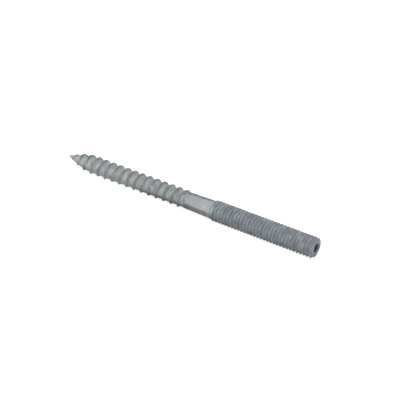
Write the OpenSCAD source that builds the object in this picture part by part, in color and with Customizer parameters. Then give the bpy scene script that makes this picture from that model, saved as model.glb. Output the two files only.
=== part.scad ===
// Hanger bolt: one cold-formed steel bar. It has a wood thread with a gimlet point at one end, a
// machine thread at the other, and between them a plain shank with two pressed spanner flats.
// The bar lies along X. The origin is the centre of the machine end face, and +X points out of
// that face, so the wood point is the -X end. The modules stand upright on their own Z, and
// hanger_bolt() lays them down: their X becomes Y, their Y becomes Z, and their Z becomes X.

/* [Bolt] */
// Length from the machine end face to the tip of the point
bolt_length = 80; // [60:0.5:120]
// Hand of both threads: -1 is left-hand and 1 is right-hand
thread_hand = -1; // [-1, 1]

/* [Machine thread] */
// Length of the machine thread, from the end face to the end of its run-out
machine_length = 32; // [15:0.5:40]
// Diameter over the crests
machine_d = 5.9; // [5.4:0.05:7]
// Distance between crests
machine_pitch = 1; // [0.75:0.05:1.25]
// Length over which the last crests sink into the shank
machine_runout = 2; // [1:0.5:6]
// Angle at which the machine thread's crest passes the end face
machine_start = 330; // [0:5:355]
// Width of the 45 degree chamfer at the end face
end_chamfer = 0.35; // [0.2:0.05:0.8]

/* [Shank] */
// Length of the plain shank between the threads
shank_length = 8; // [5:0.5:15]
// Diameter of the shank where it meets the machine thread
shank_d = 5.1; // [4.8:0.05:5.3]
// Diameter of the shank where it meets the wood thread
shank_neck_d = 4.75; // [4.5:0.05:5.1]
// Distance across the two spanner flats
flats_width = 4; // [3.6:0.05:4.4]
// Length of the flats, from the machine thread towards the wood thread
flats_length = 8.2; // [3:0.1:10]
// Length of the slope at the wood end of the flats, where they rise to the shank
flats_slope = 0.8; // [0.2:0.1:2]
// Angle of the spanner flats around the bar, from level
flats_turn = 130; // [0:5:180]

/* [Wood thread] */
// Diameter over the crests
wood_d = 5.35; // [5:0.05:6.5]
// Diameter of the core between the crests
wood_core_d = 4.3; // [3.6:0.05:4.6]
// Distance between crests
wood_pitch = 2.45; // [1.8:0.05:3.2]
// Length of the point, where the thread narrows to the tip
point_length = 8.5; // [6:0.5:14]
// Diameter of the blunted tip
tip_d = 0.2; // [0.1:0.05:0.6]
// Length over which the groove rises into the shank
wood_runout = 1; // [0.5:0.1:3]
// Length over which the last crest sinks into the shank
wood_fade = 0.4; // [0.2:0.1:2]
// Angle at which the wood thread's crest meets the shank
wood_start = 290; // [0:5:355]

/* [Drive socket] */
// Distance across the flats of the hexagon socket
socket_width = 2.5; // [1.5:0.1:3]
// Depth of the socket's straight walls
socket_depth = 3; // [1:0.1:6]
// Angle of the hexagon around the bar
socket_turn = 15; // [0:5:55]

/* [Hidden] */
$fn = 96;

// Faces in one turn of each thread, and how far a thread's core reaches into the shank
machine_sides = 24;
wood_sides = 24;
core_overlap = 0.4;
// How much lower than the shank's surface each thread ends, so that the shank keeps a clean edge
shank_step = 0.05;
// How far a cutting body stands clear of what it cuts
clear = 1;

machine_end = -machine_length;
wood_end = machine_end - shank_length;
tip = -bolt_length;

// A 60 degree metric thread: the crest is an eighth of the pitch wide and the root a quarter
machine_height = 5 / 8 * sqrt(3) / 2 * machine_pitch;
machine_core_r = machine_d / 2 - machine_height;
end_face_r = machine_d / 2 - end_chamfer;

// Each station is a place on a thread's profile: how far along the pitch it lies, as a share of
// the pitch from the crest's middle, and how high it stands, from 0 at the core to 1 at the crest
MACHINE_STATIONS = [[-1 / 16, 1], [1 / 16, 1], [3 / 8, 0], [5 / 8, 0]];
WOOD_STATIONS = [[-0.02, 1], [0.02, 1], [0.13, 0.2], [0.65, 0], [0.88, 0.08]];

function clamp(value, low, high) = max(low, min(high, value));
function blend(share, from, to) = from + (to - from) * clamp(share, 0, 1);

// Radii of the machine thread's core and crest at height z
machine_run_r = shank_d / 2 - shank_step;
function machine_share(z) = (z - machine_end) / machine_runout;
function machine_core(z) = blend(machine_share(z), machine_run_r, machine_core_r);
function machine_crest(z) = blend(machine_share(z), machine_run_r, machine_d / 2);

// Radii of the wood thread's core and crest at height z. Both sink to the tip along a sine curve,
// and both run into the shank, the crest later than the core
wood_run_r = shank_neck_d / 2 - shank_step;
function point_r(z, full_r) =
    blend(sin(90 * clamp((z - tip) / point_length, 0, 1)), tip_d / 2, full_r);
function wood_core(z) =
    blend((wood_end - z) / wood_runout, wood_run_r, point_r(z, wood_core_d / 2));
function wood_crest(z) =
    blend((wood_end - z) / wood_fade, wood_run_r, point_r(z, wood_d / 2));

// A helical skin is a grid of points. Each column is a line of points at its own angle, and its
// stations come at the same places on the profile in every column, so that the edges follow the
// helix. The last column meets the first one a whole pitch further on. Stations that would lie
// past an end of the skin are held on that end, on the core, and the faces that this leaves with
// no area are dropped. The crest passes height mark at angle start.
function skin_points(low, high, mark, start, pitch, stations, sides, rows, core, crest) =
    [for (side = [0:sides - 1])
        for (row = [0:rows - 1])
            let (station = stations[row % len(stations)])
            let (turn = floor(row / len(stations)) + floor((low - mark) / pitch) - 2)
            let (along = turn + station[0] + thread_hand * (side / sides - start / 360))
            let (z = clamp(mark + pitch * along, low, high))
            let (height = z > low && z < high ? station[1] : 0)
            let (r = blend(height, core(z), crest(z)))
            let (angle = 360 * side / sides)
            [r * cos(angle), r * sin(angle), z]];

function has_area(face, points) =
    points[face[0]] != points[face[1]]
    && points[face[1]] != points[face[2]]
    && points[face[2]] != points[face[0]];

function skin_faces(points, sides, rows, per_turn) =
    [for (side = [0:sides - 1])
        for (row = [per_turn:rows - per_turn - 2])
            let (a = side * rows + row)
            let (b = side < sides - 1 ? a + rows : row + thread_hand * per_turn)
            for (face = [[a, a + 1, b + 1], [a, b + 1, b]])
                if (has_area(face, points)) face];

module helical_skin(low, high, mark, start, pitch, stations, sides, core, crest) {
    per_turn = len(stations);
    rows = per_turn * (ceil((high - low) / pitch) + 6);
    points = skin_points(low, high, mark, start, pitch, stations, sides, rows, core, crest);
    low_end = [for (side = [0:sides - 1]) side * rows];
    high_end = [for (side = [sides - 1:-1:0]) side * rows + rows - 1];
    faces = skin_faces(points, sides, rows, per_turn);
    polyhedron(points = points, faces = concat(faces, [low_end, high_end]));
}

module wood_thread() {
    helical_skin(
        low = tip,
        high = wood_end + core_overlap,
        mark = wood_end,
        start = wood_start,
        pitch = wood_pitch,
        stations = WOOD_STATIONS,
        sides = wood_sides,
        core = function(z) wood_core(z),
        crest = function(z) wood_crest(z)
    );
}

// What is turned off the machine end: all that lies past the end face or outside the chamfer
module end_trim() {
    outer_r = machine_d / 2 + clear;
    rotate_extrude()
        polygon([
            [0, 0],
            [end_face_r, 0],
            [outer_r, end_face_r - outer_r],
            [outer_r, 2 * clear],
            [0, 2 * clear],
        ]);
}

module machine_thread() {
    difference() {
        helical_skin(
            low = machine_end - core_overlap,
            high = clear,
            mark = 0,
            start = machine_start,
            pitch = machine_pitch,
            stations = MACHINE_STATIONS,
            sides = machine_sides,
            core = function(z) machine_core(z),
            crest = function(z) machine_crest(z)
        );
        end_trim();
    }
}

// What is pressed off one side of the bar. It is square to the flat at the machine thread, and it
// slopes up at its other end, where it meets the shank's surface at the flat's full length.
module spanner_flat() {
    flat_r = flats_width / 2;
    neck_r = shank_neck_d / 2;
    outer_r = machine_d / 2 + clear;
    flats_end = machine_end - flats_length;
    steepness = flats_slope / (neck_r - flat_r);
    rotate([90, 0, 0])
        linear_extrude(height = 2 * outer_r, center = true)
            polygon([
                [flat_r, machine_end],
                [outer_r, machine_end],
                [outer_r, flats_end - (outer_r - neck_r) * steepness],
                [flat_r, flats_end + flats_slope],
            ]);
}

module spanner_flats() {
    for (turn = [0, 180])
        rotate([0, 0, flats_turn + turn])
            spanner_flat();
}

module shank() {
    translate([0, 0, wood_end])
        linear_extrude(height = shank_length, scale = shank_d / shank_neck_d)
            circle(d = shank_neck_d);
}

// The hexagon socket, with the point that its drill left
module drive_socket() {
    corner_r = socket_width / 2 / cos(30);
    drill_r = socket_width / 2;
    drill_point = drill_r / tan(59);
    rotate([0, 0, socket_turn])
        translate([0, 0, -socket_depth])
            cylinder(h = socket_depth + clear, r = corner_r, $fn = 6);
    translate([0, 0, -socket_depth - drill_point])
        cylinder(h = drill_point, r1 = 0, r2 = drill_r);
}

module hanger_bolt() {
    color("slategray")
        rotate([90, 0, 90])
            difference() {
                union() {
                    wood_thread();
                    shank();
                    machine_thread();
                }
                spanner_flats();
                drive_socket();
            }
}

hanger_bolt();
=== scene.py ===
"""Looks of the hanger bolt: its rolled threads, pressed spanner flats, drive socket and dull zinc.

The bolt lies along X, with the middle of its machine end face at the origin and its wood point at -X.
Everything is in metres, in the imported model's own frame.
"""

import math

import bmesh
import bpy
from mathutils import Matrix, Vector, noise


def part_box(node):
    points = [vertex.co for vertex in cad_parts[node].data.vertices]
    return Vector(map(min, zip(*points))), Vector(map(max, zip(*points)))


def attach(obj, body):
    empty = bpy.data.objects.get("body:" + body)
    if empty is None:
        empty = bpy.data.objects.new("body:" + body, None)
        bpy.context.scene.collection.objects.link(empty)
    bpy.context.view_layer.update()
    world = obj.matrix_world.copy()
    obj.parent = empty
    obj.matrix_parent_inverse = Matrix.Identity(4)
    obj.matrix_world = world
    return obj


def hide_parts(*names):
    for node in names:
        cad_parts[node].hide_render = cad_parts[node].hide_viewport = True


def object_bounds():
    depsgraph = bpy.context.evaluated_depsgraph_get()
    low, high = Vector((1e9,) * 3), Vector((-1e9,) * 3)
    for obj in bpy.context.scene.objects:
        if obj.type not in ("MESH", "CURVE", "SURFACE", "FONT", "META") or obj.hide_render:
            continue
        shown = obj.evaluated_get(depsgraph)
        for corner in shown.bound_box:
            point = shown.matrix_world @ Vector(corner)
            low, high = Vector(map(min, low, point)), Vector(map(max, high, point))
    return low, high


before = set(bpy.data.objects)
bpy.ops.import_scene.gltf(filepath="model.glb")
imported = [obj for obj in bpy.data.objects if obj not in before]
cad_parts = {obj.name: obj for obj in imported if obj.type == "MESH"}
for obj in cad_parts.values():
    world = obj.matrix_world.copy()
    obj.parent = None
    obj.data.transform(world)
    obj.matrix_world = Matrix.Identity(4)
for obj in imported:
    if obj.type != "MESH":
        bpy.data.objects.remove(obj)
cad_low, cad_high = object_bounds()
bolt_low, bolt_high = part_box("hanger_bolt")

MM = 0.001

# ---- Sizes of the bolt. The length and the machine thread's crest come from the frame.
TIP = bolt_low.x
MACHINE_CREST_R = bolt_high.z

# Both threads are left-hand
HAND = -1

MACHINE_LENGTH = 32 * MM
MACHINE_PITCH = 1 * MM
MACHINE_DEPTH = 0.613 * MACHINE_PITCH
# Length over which the last crests sink into the shank. The root rises over a shorter length.
MACHINE_RUNOUT = 1 * MM
MACHINE_ROOT_RUNOUT = MACHINE_RUNOUT / 1.5
# Angle around the bolt, from +Y towards +Z, at which the machine thread's crest passes the end face
MACHINE_START = math.radians(330)
END_CHAMFER = 0.35 * MM

SHANK_LENGTH = 8 * MM
SHANK_R = 2.55 * MM
SHANK_NECK_R = 2.375 * MM

# Distance of each spanner flat from the bolt's middle line
FLATS_R = 2 * MM
FLATS_LENGTH = 8.2 * MM
# How far the flats reach into the machine thread
FLATS_OVERLAP = 0.7 * MM
# Length of the slope at the wood end of the flats
FLATS_SLOPE = 0.8 * MM
FLATS_TURN = math.radians(130)
# How far beyond the flats' wood end the surface may still be cut and pressed
FLATS_REACH = 2 * MM
# Where the flats meet the machine thread, the length of the wall and of the painted shade at its foot
FLATS_WALL = 0.02 * MM
FLATS_FOOT = 0.3 * MM

WOOD_PITCH = 2.45 * MM
# Thickness of the zinc on the wood thread
ZINC = 0.05 * MM
WOOD_CREST_R = 2.68 * MM + ZINC
WOOD_CORE_R = 2.15 * MM + 0.5 * ZINC
POINT_LENGTH = 8.5 * MM
TIP_R = 0.1 * MM
WOOD_RUNOUT = 1 * MM
WOOD_FADE = 0.4 * MM
# Angle at which the wood thread's crest meets the shank
WOOD_START = math.radians(290)
# How far the wood crest leans along the bolt, on average, and the side where it leans twice as far
LEAN = 0.025 * WOOD_PITCH
LEAN_SIDE = math.radians(48)
# Size and depth of the unevenness of the wood thread's surface
LUMP_SIZE = 1.3 * MM
LUMP_DEPTH = 0.04 * MM

SOCKET_WIDTH = 2.5 * MM
SOCKET_DEPTH = 3 * MM
SOCKET_TURN = math.radians(15)
# Width of the bevel at the socket's rim
SOCKET_EDGE = 0.05 * MM
DRILL_HALF_ANGLE = math.radians(59)

MACHINE_END = -MACHINE_LENGTH
WOOD_END = MACHINE_END - SHANK_LENGTH
FLATS_START = MACHINE_END + FLATS_OVERLAP
FLATS_END = MACHINE_END - FLATS_LENGTH

# ---- How finely the threads are drawn
COLUMNS = 72
# Where the rows of faces lie on one side of a crest, as shares of the pitch
ROWS_BESIDE_CREST = (0.012, 0.03, 0.0625, 0.1, 0.14, 0.19, 0.26, 0.34, 0.42)
# Edges that turn by more than this are drawn sharp
SHARP_ANGLE = math.radians(42)
# How close two places along the bolt are when they count as one
SAME_PLACE = 1e-6

# ---- Colours of the finish. Pairs run from the darker clouds to the lighter ones.
GREENISH_ZINC = ((0.277, 0.312, 0.309), (0.443, 0.477, 0.473))
PURPLISH_ZINC = ((0.288, 0.296, 0.309), (0.452, 0.458, 0.471))
FLAT_ZINC = ((0.329, 0.336, 0.355), (0.371, 0.378, 0.395))
PALE_SPOT = (0.46, 0.485, 0.485)
PALE_FLECKS = (0.6, 0.62, 0.62)
BRIGHT_MARK_ZINC = (0.58, 0.59, 0.6)
# The socket's inside is painted darker than the zinc: painted shade in the recess
SOCKET_PAINTED_SHADE = (0.22, 0.222, 0.232)
BLACK = (0, 0, 0)
# What the colour is multiplied by on the way from the point to the end face, one after another
BEFORE_SHANK = (0.94, 0.94, 0.95)
ON_SHANK = (0.7, 0.7, 0.71)
AFTER_SHANK = (1.56, 1.61, 1.66)
# Painted shade: the end face is painted a little darker
END_FACE_PAINTED_SHADE = (0.86, 0.85, 0.84)
# What the flats' colour is multiplied by where they meet the machine thread
FLATS_MACHINE_END = (1.1, 1.14, 1.12)

# ---- Light
WORLD_LIGHT = 0.85
# How much light the floor gives to the camera alone, over what falls on it
FLOOR_LIFT = 0.68


def clamp(value, low=0, high=1):
    return max(low, min(high, value))


def between(share, start, end):
    """start at share 0 and end at share 1, and never past them."""
    return start + (end - start) * clamp(share)


def ease(share):
    """0 to 1 as share is, with soft ends."""
    share = clamp(share)
    return share * share * (3 - 2 * share)


def hump(value, middle, width):
    """1 in the middle, and falling off softly on both sides of it."""
    return math.exp(-(((value - middle) / width) ** 2))


# ---- The bolt is drawn as one skin, whose rows of faces wind round it as the crests do.
# Turns are counted along the whole bolt: a crest lies wherever the count, less its own share of a
# turn round the bolt, is a whole number.
WOOD_TURNS_AT_END = HAND * WOOD_START / math.tau
SHANK_TURNS = SHANK_LENGTH / ((WOOD_PITCH + MACHINE_PITCH) / 2)
# The machine thread's own count, from its end face. A whole number of turns is added to it, so that
# the shank has about its share.
TURNS_FROM_FACE = -MACHINE_LENGTH / MACHINE_PITCH + HAND * MACHINE_START / math.tau
WHOLE_TURNS = round(WOOD_TURNS_AT_END + SHANK_TURNS - TURNS_FROM_FACE)
MACHINE_TURNS_AT_END = TURNS_FROM_FACE + WHOLE_TURNS
LAST_TURN = MACHINE_TURNS_AT_END + MACHINE_LENGTH / MACHINE_PITCH
FIRST_TURN = WOOD_TURNS_AT_END + (TIP - WOOD_END) / WOOD_PITCH


def place_of_turn(turn):
    """The place along the bolt where the count of turns reaches this number.

    On the shank it follows a cubic curve that leaves each thread at that thread's own pitch.
    """
    if turn <= WOOD_TURNS_AT_END:
        return WOOD_END + (turn - WOOD_TURNS_AT_END) * WOOD_PITCH
    if turn >= MACHINE_TURNS_AT_END:
        return MACHINE_END + (turn - MACHINE_TURNS_AT_END) * MACHINE_PITCH
    turns = MACHINE_TURNS_AT_END - WOOD_TURNS_AT_END
    s = (turn - WOOD_TURNS_AT_END) / turns
    return (
        WOOD_END * (2 * s**3 - 3 * s**2 + 1)
        + MACHINE_END * (3 * s**2 - 2 * s**3)
        + WOOD_PITCH * turns * (s**3 - 2 * s**2 + s)
        + MACHINE_PITCH * turns * (s**3 - s**2)
    )


def machine_profile(phase):
    """Height of the machine thread, 0 to 1, at this share of the pitch from its crest.

    Its straight flanks are rounded a little at the crest and at the root.
    """
    top, foot, rounding = 0.03, 0.39, 0.3
    flank = clamp((foot - abs(phase)) / (foot - top))
    return (1 - rounding) * flank + rounding * ease(flank)


def wood_profile(phase):
    """Height of the wood thread: a thin crest on a root that sinks towards the next crest.

    The crest is steeper on its side towards the point, and both sides are a little hollow.
    """
    top, lowest = 0.01, 0.65
    width, hollow = (0.11, 1.3) if phase < 0 else (0.15, 1.2)
    tooth = (1 - clamp((abs(phase) - top) / width)) ** hollow
    past = phase % 1
    root = 0.22 * (lowest - past) if past < lowest else 0.1 * (past - lowest)
    return max(tooth, root)


def painted_corner_shade(x, angle, phase):
    """Painted shade, 0 on the shank, and more along the machine crests and beside the wood ones.

    The painted shade at the foot of the wood crest is the darkest near the point. It is closer to the
    crest on top of the bolt.
    """
    if x > MACHINE_END:
        return clamp(0.6 * hump(phase, -0.06, 0.18) + 0.4 * machine_profile(phase))
    if x > WOOD_END:
        return 0
    near_point = ease((TIP + 9 * MM - x) / (3 * MM))
    on_top = ease((math.sin(angle) - 0.8) / 0.2)
    foot = hump(phase, 0.25 - 0.15 * on_top, 0.08)
    other_side = hump(phase, -0.1, 0.05)
    return (1 + 0.5 * near_point) * foot + 0.3 * other_side


def crest_bright_mark(x, angle):
    """How bright, 0 to 1, the crests are marked at the flats' two ends, on the sides where the flats lie.
    """
    if x < MACHINE_END:
        middle = FLATS_TURN
        band = hump(x, FLATS_END - 0.45 * MM, 0.2 * MM)
    else:
        middle = FLATS_TURN + math.radians(16)
        band = hump(x, FLATS_START + 0.4 * MM, 0.3 * MM)
    facing_flats = abs(math.cos(angle - middle))
    return band * ease((facing_flats - 0.92) / 0.06)


def machine_r(x, phase):
    """The machine thread's radius: sunk into the shank at one end, and chamfered at the other."""
    past_end = x - MACHINE_END
    core = between(past_end / MACHINE_ROOT_RUNOUT, SHANK_R, MACHINE_CREST_R - MACHINE_DEPTH)
    crest = between(past_end / MACHINE_RUNOUT, SHANK_R, MACHINE_CREST_R)
    r = between(machine_profile(phase), core, crest)
    return min(r, MACHINE_CREST_R - END_CHAMFER - x)


def point_r(x, full_r):
    """full_r, shrunk towards the tip along a sine curve."""
    return between(math.sin(math.pi / 2 * clamp((x - TIP) / POINT_LENGTH)), TIP_R, full_r)


def wood_r(x, angle, phase):
    """The wood thread's radius. Zinc gathers in the root below, and the crest is higher on top."""
    gathered = ZINC * (1 - math.sin(angle))
    proud = 0.8 * ZINC * math.sin(angle)
    core = between((WOOD_END - x) / WOOD_RUNOUT, SHANK_NECK_R, point_r(x, WOOD_CORE_R + gathered))
    crest = between((WOOD_END - x) / WOOD_FADE, SHANK_NECK_R, point_r(x, WOOD_CREST_R + proud))
    return between(wood_profile(phase), core, crest)


def skin_r(x, angle, phase):
    """The bolt's radius anywhere along it, before the flats are pressed."""
    if x > MACHINE_END:
        return machine_r(x, phase)
    if x < WOOD_END:
        return wood_r(x, angle, phase)
    return between((x - WOOD_END) / SHANK_LENGTH, SHANK_NECK_R, SHANK_R)


def lean(x, angle):
    """How far the wood thread leans along the bolt here. It doesn't at its two ends."""
    away_from_ends = clamp((x - TIP) / (5 * MM)) * clamp((WOOD_END - x) / (2 * MM))
    return LEAN * away_from_ends * (1 + math.cos(angle - LEAN_SIDE))


def uneven_wood(x, angle, r):
    """How much lower the wood thread's skin lies here than its true form."""
    lumps = noise.noise(Vector((x, r * math.cos(angle), r * math.sin(angle))) / LUMP_SIZE)
    away_from_tip = clamp((x - TIP) / (6 * MM))
    return LUMP_DEPTH * away_from_tip * clamp(0.5 + lumps)


def wound_tube(bm):
    """A tube of radius 1 whose length is in turns, with its rows of faces along a helix.

    After a whole turn the rows have moved on by one count, so the last column meets the first.
    """
    rows = sorted({0.0, 0.5, *ROWS_BESIDE_CREST, *(1 - row for row in ROWS_BESIDE_CREST)})
    first = math.floor(FIRST_TURN) - 2
    last = math.ceil(LAST_TURN) + 2
    line = [bm.verts.new((turn + row, 1, 0)) for turn in range(first, last) for row in rows]
    edges = [bm.edges.new(pair) for pair in zip(line, line[1:])]
    bmesh.ops.spin(
        bm,
        geom=line + edges,
        cent=(0, 0, 0),
        axis=(1, 0, 0),
        dvec=(HAND / COLUMNS, 0, 0),
        angle=math.tau,
        steps=COLUMNS,
    )
    bmesh.ops.remove_doubles(bm, verts=bm.verts, dist=1e-3)
    for end, outward in ((FIRST_TURN, -1), (LAST_TURN, 1)):
        bmesh.ops.bisect_plane(
            bm,
            geom=bm.verts[:] + bm.edges[:] + bm.faces[:],
            dist=1e-5,
            plane_co=(end, 0, 0),
            plane_no=(outward, 0, 0),
            clear_outer=True,
        )


def shape_skin(bm):
    """Turns the tube's count of turns into places along the bolt, and gives it the threads' radii."""
    crest = bm.verts.layers.float.new("crest")
    # The corner layer holds painted shade, which darkens the zinc's colour
    corner = bm.verts.layers.float.new("corner")
    bright_mark = bm.verts.layers.float.new("bright_mark")
    for vert in bm.verts:
        turn, y, z = vert.co
        angle = math.atan2(z, y)
        phase = (turn - HAND * angle / math.tau + 0.5) % 1 - 0.5
        x = clamp(place_of_turn(turn), TIP, 0)
        if x < WOOD_END:
            x += lean(x, angle)
        r = skin_r(x, angle, phase)
        if x < WOOD_END:
            r -= uneven_wood(x, angle, r)
        vert.co = (x, r * math.cos(angle), r * math.sin(angle))
        profile = machine_profile if x > MACHINE_END else wood_profile
        on_thread = x > MACHINE_END or x < WOOD_END
        vert[crest] = profile(phase) if on_thread else 0
        vert[corner] = painted_corner_shade(x, angle, phase)
        vert[bright_mark] = crest_bright_mark(x, angle)


def open_ring(bm, x):
    """The edges of the skin's open end at this place along the bolt."""
    ends = [edge for edge in bm.edges if edge.is_boundary]
    return [edge for edge in ends if abs(edge.verts[0].co.x - x) < SAME_PLACE]


def next_ring(bm, ring, x, radius_at):
    """Carries an open ring on to place x, with a radius for each angle, and gives the new ring."""
    new = bmesh.ops.extrude_edge_only(bm, edges=ring)["geom"]
    for vert in (v for v in new if isinstance(v, bmesh.types.BMVert)):
        angle = math.atan2(vert.co.z, vert.co.y)
        r = radius_at(angle)
        vert.co = (x, r * math.cos(angle), r * math.sin(angle))
    return [e for e in new if isinstance(e, bmesh.types.BMEdge) and e.is_boundary]


def close_ring(bm, ring, x):
    """Closes an open ring with faces that meet on the middle line at place x."""
    smaller = next_ring(bm, ring, x, lambda angle: TIP_R / 2)
    verts = list(dict.fromkeys(vert for edge in smaller for vert in edge.verts))
    bmesh.ops.pointmerge(bm, verts=verts, merge_co=(x, 0, 0))


def hexagon_r(angle, width):
    """Distance from the middle line to a hexagon of this width across its flats."""
    sixth = math.tau / 6
    from_flat = (angle - SOCKET_TURN) % sixth - sixth / 2
    return width / 2 / math.cos(from_flat)


def sink_socket(bm):
    """Draws the end face, and the hexagon socket with the point that its drill left."""
    ring = open_ring(bm, 0)
    ring = next_ring(bm, ring, 0, lambda angle: hexagon_r(angle, SOCKET_WIDTH + 2 * SOCKET_EDGE))
    ring = next_ring(bm, ring, -SOCKET_EDGE, lambda angle: hexagon_r(angle, SOCKET_WIDTH))
    ring = next_ring(bm, ring, -SOCKET_DEPTH, lambda angle: hexagon_r(angle, SOCKET_WIDTH))
    ring = next_ring(bm, ring, -SOCKET_DEPTH, lambda angle: SOCKET_WIDTH / 2)
    close_ring(bm, ring, -SOCKET_DEPTH - SOCKET_WIDTH / 2 / math.tan(DRILL_HALF_ANGLE))
    # The drill's circle touches the hexagon's six sides, and there the last two rings share a point
    bmesh.ops.remove_doubles(bm, verts=bm.verts, dist=1e-9)
    socket = bm.verts.layers.float.new("socket")
    widest = SOCKET_WIDTH / math.sqrt(3) + SOCKET_EDGE
    for vert in bm.verts:
        x, y, z = vert.co
        vert[socket] = float(MACHINE_END < x < -SOCKET_EDGE / 2 and math.hypot(y, z) < widest)


def press_flat(bm, turn):
    """Presses one spanner flat: square at the machine thread, and sloped at its other end."""
    along = Vector((1, 0, 0))
    out = Vector((0, math.cos(turn), math.sin(turn)))
    steepness = (SHANK_NECK_R - FLATS_R) / FLATS_SLOPE
    slope_start = FLATS_END + FLATS_SLOPE
    foot_start = FLATS_START - FLATS_FOOT

    # New edges come where the flat's own edges will be
    across = [(along * x, along) for x in (FLATS_START, FLATS_START - FLATS_WALL, foot_start, slope_start)]
    level = (out * FLATS_R, out)
    slope = (out * FLATS_R + along * slope_start, (out + along * steepness).normalized())
    for middle, normal in (*across, level, slope):
        near = []
        for face in bm.faces:
            centre = face.calc_center_median()
            if FLATS_END - FLATS_REACH < centre.x < FLATS_START + MACHINE_PITCH and centre.dot(out) > 0:
                near.append(face)
        edges = dict.fromkeys(edge for face in near for edge in face.edges)
        verts = dict.fromkeys(vert for face in near for vert in face.verts)
        cut = near + list(edges) + list(verts)
        bmesh.ops.bisect_plane(bm, geom=cut, dist=1e-8, plane_co=middle, plane_no=normal)

    pressed = bm.verts.layers.float.get("pressed") or bm.verts.layers.float.new("pressed")
    corner = bm.verts.layers.float["corner"]
    for vert in bm.verts:
        x = vert.co.x
        if not FLATS_END - FLATS_REACH <= x <= FLATS_START - FLATS_WALL / 2:
            continue
        height = FLATS_R + max(0, slope_start - x) * steepness
        over = vert.co.dot(out) - height
        if over <= -SAME_PLACE / 10:
            continue
        vert.co -= out * over
        on_flat = slope_start - SAME_PLACE < x < foot_start + SAME_PLACE
        vert[pressed] = float(on_flat)
        # Painted shade at the foot of the wall, and along a line across the slope
        if on_flat:
            vert[corner] = 0
        elif x > slope_start:
            vert[corner] = 1.6
        else:
            vert[corner] = 0.15 + 1.2 * hump(x, FLATS_END + 0.3 * MM, 0.18 * MM)


def bolt():
    """The whole bolt, as one closed skin."""
    bm = bmesh.new()
    wound_tube(bm)
    shape_skin(bm)
    close_ring(bm, open_ring(bm, TIP), TIP)
    sink_socket(bm)
    press_flat(bm, FLATS_TURN)
    press_flat(bm, FLATS_TURN + math.pi)
    bmesh.ops.recalc_face_normals(bm, faces=bm.faces)
    for face in bm.faces:
        face.smooth = True
    mesh = bpy.data.meshes.new("bolt")
    bm.to_mesh(mesh)
    bm.free()
    mesh.set_sharp_from_angle(angle=SHARP_ANGLE)
    piece = bpy.data.objects.new("bolt", mesh)
    bpy.context.scene.collection.objects.link(piece)
    return piece


# ---- Finish
def add(tree, kind, inputs=(), **settings):
    """A node, with the values of the inputs that are given by name or number."""
    node = tree.nodes.new("ShaderNode" + kind)
    for name, value in settings.items():
        setattr(node, name, value)
    for name, value in dict(inputs).items():
        if isinstance(value, bpy.types.NodeSocket):
            tree.links.new(value, node.inputs[name])
        else:
            node.inputs[name].default_value = value
    return node


def group(name, inputs, outputs):
    """An empty node group, with its sockets, and the nodes at its two ends."""
    tree = bpy.data.node_groups.new(name, "ShaderNodeTree")
    for title, kind, value in inputs:
        socket = tree.interface.new_socket(title, in_out="INPUT", socket_type="NodeSocket" + kind)
        socket.default_value = value
    for title, kind in outputs:
        tree.interface.new_socket(title, in_out="OUTPUT", socket_type="NodeSocket" + kind)
    return tree, tree.nodes.new("NodeGroupInput").outputs, tree.nodes.new("NodeGroupOutput").inputs


def calculate(tree, operation, first, second=0.0, third=0.0):
    """One sum, on numbers or sockets."""
    return add(tree, "Math", {0: first, 1: second, 2: third}, operation=operation).outputs[0]


def ranged(tree, value, low, high, start, end):
    """value, carried from low..high to start..end with soft ends."""
    inputs = {"Value": value, "From Min": low, "From Max": high, "To Min": start, "To Max": end}
    return add(tree, "MapRange", inputs, interpolation_type="SMOOTHSTEP").outputs["Result"]


def mixed_number(tree, share, first, second):
    return add(tree, "Mix", {"Factor": share, 2: first, 3: second}, data_type="FLOAT").outputs[0]


def mixed(tree, share, first, second, blend="MIX"):
    """The colour first at share 0, and second at share 1. Each is a colour or a socket."""
    node = add(tree, "Mix", {"Factor": share}, data_type="RGBA", blend_type=blend)
    for socket, value in ((node.inputs[6], first), (node.inputs[7], second)):
        if isinstance(value, bpy.types.NodeSocket):
            tree.links.new(value, socket)
        else:
            socket.default_value = (*value, 1)
    return node.outputs[2]


def tinted(tree, colour, share, factor):
    """colour, multiplied by factor as far as share says."""
    return mixed(tree, share, colour, factor, blend="MULTIPLY")


def dulled_and_shaded(tree, colour, share):
    """colour, darkened as far as share says: for dull spots, and for painted shade."""
    return tinted(tree, colour, share, BLACK)


def noise_value(tree, place, scale, detail=2, roughness=0.5):
    inputs = {"Vector": place, "Scale": scale, "Detail": detail, "Roughness": roughness}
    return add(tree, "TexNoise", inputs).outputs["Fac"]


def shifted(tree, place, shift):
    """place, moved so that a second noise of the same size has its own pattern."""
    return add(tree, "VectorMath", {0: place, 1: shift}, operation="ADD").outputs[0]


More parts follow.
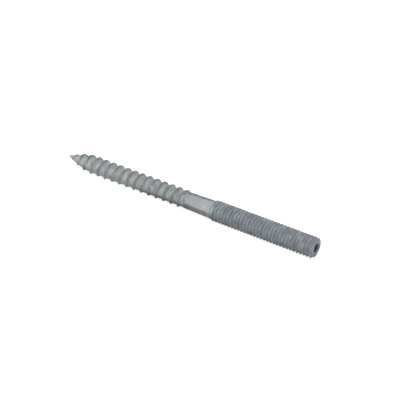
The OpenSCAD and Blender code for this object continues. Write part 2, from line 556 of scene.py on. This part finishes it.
def cloudiness():
    """Clouds and streaks of lighter and darker zinc. Sizes are in metres, and streaks run round the bar."""
    tree, given, out = group(
        "cloudiness",
        (("Cloud size", "Float", 2 * MM), ("Streak width", "Float", 0.3 * MM), ("Streaks", "Float", 0.4)),
        (("Cloud", "Float"), ("Hue", "Float"), ("Grain", "Float"), ("Flecks", "Float")),
    )
    place = add(tree, "TexCoord").outputs["Object"]
    drawn = add(tree, "Mapping", {"Vector": place, "Scale": (1, 0.3, 0.3)}).outputs[0]
    aside = shifted(tree, place, (0.3, 0.1, 0.2))
    cloud_scale = calculate(tree, "DIVIDE", 1, given["Cloud size"])
    hue_scale = calculate(tree, "DIVIDE", 0.4, given["Cloud size"])
    streak_scale = calculate(tree, "DIVIDE", 1, given["Streak width"])
    clouds = noise_value(tree, place, cloud_scale, detail=3, roughness=0.6)
    streaks = noise_value(tree, drawn, streak_scale)
    cloud = ranged(tree, clouds, 0.32, 0.68, 0, 1)
    streak = ranged(tree, streaks, 0.3, 0.7, 0, 1)
    hue = noise_value(tree, aside, hue_scale)
    tree.links.new(mixed_number(tree, given["Streaks"], cloud, streak), out["Cloud"])
    tree.links.new(ranged(tree, hue, 0.42, 0.66, 0, 1), out["Hue"])
    tree.links.new(noise_value(tree, place, streak_scale), out["Grain"])
    tree.links.new(ranged(tree, streaks, 0.58, 0.7, 0, 1), out["Flecks"])
    return tree


def pitting():
    """Small dull spots, 0 to 1, of the given size in metres. A higher Share leaves more of them."""
    tree, given, out = group(
        "pitting", (("Spot size", "Float", 0.8 * MM), ("Share", "Float", 0.4)), (("Spots", "Float"),)
    )
    aside = shifted(tree, add(tree, "TexCoord").outputs["Object"], (0.1, 0.5, 0.3))
    scale = calculate(tree, "DIVIDE", 1, given["Spot size"])
    spots = noise_value(tree, aside, scale, roughness=0.55)
    limit = calculate(tree, "SUBTRACT", 0.75, calculate(tree, "MULTIPLY", given["Share"], 0.4))
    top = calculate(tree, "ADD", limit, 0.12)
    tree.links.new(ranged(tree, spots, limit, top, 0, 1), out["Spots"])
    return tree


def attribute(tree, name):
    return add(tree, "Attribute", attribute_name=name).outputs["Fac"]


def thread_colour(tree, zinc, along):
    """The cloudy zinc, dullest on the shank's round sides and bluer on the machine thread, with the painted
    corner shade.
    """
    greenish = mixed(tree, zinc["Cloud"], *GREENISH_ZINC)
    purplish = mixed(tree, zinc["Cloud"], *PURPLISH_ZINC)
    colour = mixed(tree, zinc["Hue"], greenish, purplish)
    before_shank = ranged(tree, along, WOOD_END - 16 * MM, WOOD_END, 0, 1)
    on_shank = ranged(tree, along, WOOD_END - 1 * MM, WOOD_END + 1 * MM, 0, 1)
    after_shank = ranged(tree, along, MACHINE_END - 0.5 * MM, MACHINE_END + 0.5 * MM, 0, 1)
    colour = tinted(tree, colour, before_shank, BEFORE_SHANK)
    colour = tinted(tree, colour, on_shank, ON_SHANK)
    colour = tinted(tree, colour, after_shank, AFTER_SHANK)
    # Painted shade from the corner layer, made uneven by the grain
    painted_shade_depth = mixed_number(tree, after_shank, 0.34, 0.3)
    uneven = ranged(tree, zinc["Grain"], 0.3, 0.7, 0.65, 1.1)
    painted_shade_amount = calculate(tree, "MULTIPLY", attribute(tree, "corner"), painted_shade_depth)
    return dulled_and_shaded(tree, colour, calculate(tree, "MULTIPLY", painted_shade_amount, uneven))


def marked_colour(tree, zinc, colour, place, along):
    """colour, with small dull spots, pale flecks, a long painted shade low on one side, and bright marks by
    the flats.
    """
    pits = add(tree, "Group", {"Spot size": 0.9 * MM, "Share": 0.38}, node_tree=pitting()).outputs["Spots"]
    colour = dulled_and_shaded(tree, colour, calculate(tree, "MULTIPLY", pits, 0.3))
    colour = mixed(tree, calculate(tree, "MULTIPLY", zinc["Flecks"], 0.4), colour, PALE_FLECKS)
    # Painted shade lies low on one side, about the wood thread's last turns
    low_side = add(tree, "VectorMath", {0: place, 1: (0, -0.78, -0.63)}, operation="DOT_PRODUCT")
    low = ranged(tree, low_side.outputs["Value"], 1.5 * MM, 2.3 * MM, 0, 1)
    from_patch = calculate(tree, "ABSOLUTE", calculate(tree, "ADD", along, 46.5 * MM))
    painted_low_shade = calculate(tree, "MULTIPLY", low, ranged(tree, from_patch, 4 * MM, 13 * MM, 0.46, 0))
    colour = dulled_and_shaded(tree, colour, painted_low_shade)
    return mixed(tree, attribute(tree, "bright_mark"), colour, BRIGHT_MARK_ZINC)


def flats_colour(tree, zinc, place, along):
    """The smoother, lighter zinc of the pressed flats, with one small pale spot on the upper one."""
    spot_place = (-33.5 * MM, -1.63 * MM, 1.24 * MM)
    from_spot = add(tree, "VectorMath", {0: place, 1: spot_place}, operation="DISTANCE").outputs["Value"]
    colour = mixed(tree, zinc["Cloud"], *FLAT_ZINC)
    colour = mixed(tree, ranged(tree, from_spot, 0.3 * MM, 0.9 * MM, 0.5, 0), colour, PALE_SPOT)
    return tinted(tree, colour, ranged(tree, along, WOOD_END, MACHINE_END, 0, 1), FLATS_MACHINE_END)


def galvanised_steel():
    """Dull zinc, cloudy and a little bluer on the machine thread, with smoother, lighter flats."""
    material = bpy.data.materials.new("galvanised_steel")
    material.use_nodes = True
    tree = material.node_tree
    shader = tree.nodes["Principled BSDF"]
    sizes = {"Cloud size": 2 * MM, "Streak width": 0.7 * MM, "Streaks": 0.55}
    zinc = add(tree, "Group", sizes, node_tree=cloudiness()).outputs
    place = add(tree, "TexCoord").outputs["Object"]
    along = add(tree, "SeparateXYZ", {0: place}).outputs["X"]
    pressed = attribute(tree, "pressed")

    colour = marked_colour(tree, zinc, thread_colour(tree, zinc, along), place, along)
    colour = mixed(tree, pressed, colour, flats_colour(tree, zinc, place, along))
    # Painted shade: the end face is painted a little darker
    colour = tinted(tree, colour, ranged(tree, along, -0.3 * MM, -0.05 * MM, 0, 1), END_FACE_PAINTED_SHADE)
    # Painted shade inside the socket
    colour = mixed(tree, attribute(tree, "socket"), colour, SOCKET_PAINTED_SHADE)
    tree.links.new(colour, shader.inputs["Base Color"])

    # Crests and flats are a little smoother
    rough = ranged(tree, zinc["Cloud"], 0, 1, 0.66, 0.54)
    on_crest = ranged(tree, attribute(tree, "crest"), 0.8, 1, 0, 1)
    smoother = calculate(tree, "MULTIPLY_ADD", pressed, 0.12, calculate(tree, "MULTIPLY", on_crest, 0.08))
    tree.links.new(calculate(tree, "SUBTRACT", rough, smoother), shader.inputs["Roughness"])
    shader.inputs["Metallic"].default_value = 0.7
    bump = add(tree, "Bump", {"Height": zinc["Grain"], "Distance": 0.03 * MM, "Strength": 0.6})
    tree.links.new(bump.outputs["Normal"], shader.inputs["Normal"])
    return material


# ---- Stage
def white_floor():
    """A plain pale floor under the bolt, which the camera sees a little lighter than it is."""
    mesh = bpy.data.meshes.new("floor")
    bm = bmesh.new()
    bmesh.ops.create_grid(bm, x_segments=1, y_segments=1, size=1.5)
    bm.to_mesh(mesh)
    bm.free()
    mesh.transform(Matrix.Translation((TIP / 2, 0, cad_low.z)))
    floor = bpy.data.objects.new("floor", mesh)
    bpy.context.scene.collection.objects.link(floor)
    material = bpy.data.materials.new("white_floor")
    material.use_nodes = True
    tree = material.node_tree
    shader = tree.nodes["Principled BSDF"]
    shader.inputs["Base Color"].default_value = (0.8, 0.8, 0.8, 1)
    shader.inputs["Roughness"].default_value = 1
    shader.inputs["Specular IOR Level"].default_value = 0
    shader.inputs["Emission Color"].default_value = (1, 1, 1, 1)
    seen = add(tree, "LightPath").outputs["Is Camera Ray"]
    tree.links.new(calculate(tree, "MULTIPLY", seen, FLOOR_LIFT), shader.inputs["Emission Strength"])
    floor.data.materials.append(material)


def white_world():
    """White where the camera or the metal sees it, and a plain level where it only lights."""
    world = bpy.data.worlds.new("studio")
    world.use_nodes = True
    tree = world.node_tree
    seen = add(tree, "LightPath").outputs
    either = calculate(tree, "MAXIMUM", seen["Is Camera Ray"], seen["Is Glossy Ray"])
    strength = mixed_number(tree, either, WORLD_LIGHT, 1.0)
    background = tree.nodes["Background"]
    background.inputs["Color"].default_value = (1, 1, 1, 1)
    tree.links.new(strength, background.inputs["Strength"])
    bpy.context.scene.world = world


def soft_lamp(name, place, size, energy):
    """A square lamp that shines at the middle of the bolt. Its energy is in watts."""
    lamp = bpy.data.lights.new(name, "AREA")
    lamp.size = size
    lamp.energy = energy
    holder = bpy.data.objects.new(name, lamp)
    aim = Vector((TIP / 2, 0, 0))
    holder.location = place
    holder.rotation_euler = (aim - holder.location).to_track_quat("-Z", "Y").to_euler()
    bpy.context.scene.collection.objects.link(holder)


def camera():
    """Looks down on the bolt from its machine end."""
    azimuth = math.radians(31.85)
    elevation = math.radians(36.96)
    distance = 390.8 * MM
    aim = Vector((-34.64 * MM, 0, 0))
    # How far the camera stands to the left of the line to its aim, and above it
    left, above = 1.09 * MM, 1.71 * MM
    right = Vector((math.cos(azimuth), math.sin(azimuth), 0))
    level = Vector((math.sin(azimuth), -math.cos(azimuth), 0))
    back = level * math.cos(elevation) + Vector((0, 0, math.sin(elevation)))
    up = back.cross(right)
    data = bpy.data.cameras.new("camera")
    data.lens = 128.9
    data.clip_start = 0.01
    view = bpy.data.objects.new("camera", data)
    turn = Matrix((right, up, back)).transposed().to_4x4()
    turn.translation = aim + back * distance - right * left + up * above
    view.matrix_world = turn
    bpy.context.scene.collection.objects.link(view)
    bpy.context.scene.camera = view


piece = bolt()
piece.data.materials.append(galvanised_steel())
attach(piece, "root")
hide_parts("hanger_bolt")

white_floor()
white_world()
soft_lamp("key", (0.15, -0.45, 0.5), size=0.7, energy=0.7)
soft_lamp("fill", (-0.17, -0.1, 0.03), size=0.1, energy=0.03)
soft_lamp("end fill", (0.12, -0.12, 0.05), size=0.1, energy=0.015)
camera()
bpy.context.scene.view_settings.view_transform = "Standard"
